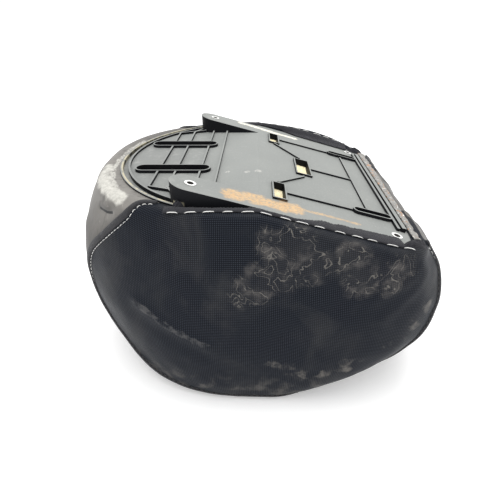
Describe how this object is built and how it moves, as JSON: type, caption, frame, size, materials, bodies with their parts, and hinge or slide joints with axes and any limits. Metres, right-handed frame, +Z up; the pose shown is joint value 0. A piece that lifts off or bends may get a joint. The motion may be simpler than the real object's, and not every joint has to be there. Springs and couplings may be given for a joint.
{
  "type": "motorcycle seat",
  "caption": "Padded motorcycle seat, stored upside down on its cushion, with its bolt-on plastic seat pan facing up.",
  "frame": {"origin": "middle of the box's underside, on the surface that the upturned seat rests on", "axes": "+Z up out of the seat pan's underside, +X towards the square tail end, Y across the seat"},
  "size_m": [0.4036, 0.3506, 0.2434],
  "materials": {
    "pan_plastic": "moulded dark plastic, dusty and slightly glossy",
    "insert_metal": "bright zinc plate",
    "foam": "open cell polyurethane foam, yellowed",
    "smooth_vinyl": "smooth satin upholstery vinyl",
    "mesh_vinyl": "vinyl embossed with a fine grid",
    "welt_vinyl": "folded seam of dark vinyl",
    "hem_fabric": "fabric backing of the vinyl, cut edge",
    "thread": "pale bonded thread",
    "staple_wire": "flat wire, partly rusted"
  },
  "bodies": {
    "root": {"seat_pan": "pan_plastic", "bolt_inserts": "insert_metal", "foam_cushion": "foam", "cover_center": "smooth_vinyl", "cover_side_left": "mesh_vinyl", "cover_side_right": "mesh_vinyl", "seam_welt_left": "welt_vinyl", "seam_welt_right": "welt_vinyl", "hem_strip_left": "hem_fabric", "hem_strip_right": "hem_fabric", "hem_thread_left": "thread", "hem_thread_right": "thread", "staples_tail": "staple_wire"}
  },
  "joints": []
}
